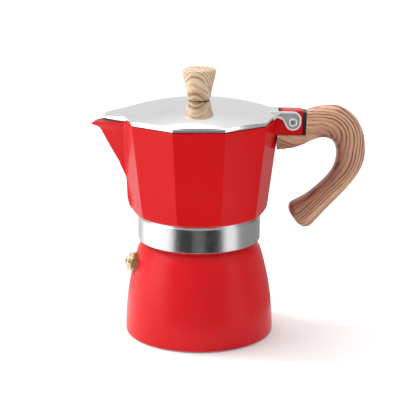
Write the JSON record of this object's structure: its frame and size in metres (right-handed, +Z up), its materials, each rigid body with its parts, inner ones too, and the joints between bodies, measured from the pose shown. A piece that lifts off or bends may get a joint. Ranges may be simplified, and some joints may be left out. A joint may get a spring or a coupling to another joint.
{
  "type": "stovetop moka pot",
  "caption": "Stovetop moka pot: round boiler with safety valve, screwed-on ten-sided collector with V spout, hinged lid with knob, side handle.",
  "frame": {"origin": "centre of the boiler's flat underside", "axes": "+Z up along the pot's axis, -X towards the spout, +X towards the handle"},
  "size_m": [0.1609, 0.09, 0.1589],
  "materials": {
    "boiler_red": "satin",
    "collector_red": "gloss",
    "turned_aluminium": "turned",
    "polished_aluminium": "polished",
    "cast_aluminium": "satin",
    "spun_aluminium": "satin",
    "valve_brass": "machined",
    "fibre": "matte",
    "steel": "machined",
    "spring_steel": "drawn",
    "seal_rubber": "matte",
    "dark_plate": "satin",
    "handle_woodprint": "satin wood print",
    "knob_woodprint": "satin wood print"
  },
  "bodies": {
    "boiler": {"boiler": "boiler_red", "valve_washer": "fibre", "valve_body": "valve_brass", "valve_seat": "valve_brass"},
    "valve_plunger": {"valve_plunger": "steel", "valve_spring": "spring_steel"},
    "funnel": {"funnel_cup": "spun_aluminium", "funnel_stem": "spun_aluminium", "basket_plate": "spun_aluminium"},
    "gasket": {"gasket": "seal_rubber"},
    "filter_plate": {"filter_plate": "spun_aluminium"},
    "collector": {"collector": "collector_red", "collar": "turned_aluminium", "column": "cast_aluminium", "column_cap": "cast_aluminium", "handle": "handle_woodprint", "handle_spacer": "dark_plate", "handle_screw": "steel", "hinge_pin": "steel"},
    "lid": {"lid": "polished_aluminium", "knob": "knob_woodprint", "knob_insert": "valve_brass", "knob_washer": "steel", "knob_screw": "steel"}
  },
  "joints": [
    {"name": "valve_lift", "type": "slide", "parent": "boiler", "child": "valve_plunger", "axis": [-0.947, -0.2013, 0.2504], "range_m": [0, 0.0015], "stiffness_N_per_m": 3000, "springref_m": -0.001, "deforming": ["valve_spring"]},
    {"name": "funnel_lift", "type": "slide", "parent": "boiler", "child": "funnel", "axis": [0, 0, 1], "range_m": [0, 0.07]},
    {"name": "collector_lift", "type": "slide", "parent": "funnel", "child": "gasket", "axis": [0, 0, 1], "range_m": [0, 0.05]},
    {"name": "collector_rise", "type": "slide", "parent": "gasket", "child": "filter_plate", "axis": [0, 0, 1], "range_m": [0, 0.0045]},
    {"name": "collector_turn", "type": "hinge", "parent": "filter_plate", "child": "collector", "pos_m": [0, 0, 0.07], "axis": [0, 0, 1], "range_deg": [0, 540]},
    {"name": "lid_hinge", "type": "hinge", "parent": "collector", "child": "lid", "pos_m": [0.05445, 0, 0.1282], "axis": [0, 1, 0], "range_deg": [0, 95]}
  ],
  "couplings": [
    {"joint": "collector_rise", "follows": "collector_turn", "m_per_rad": 0.00047746}
  ]
}
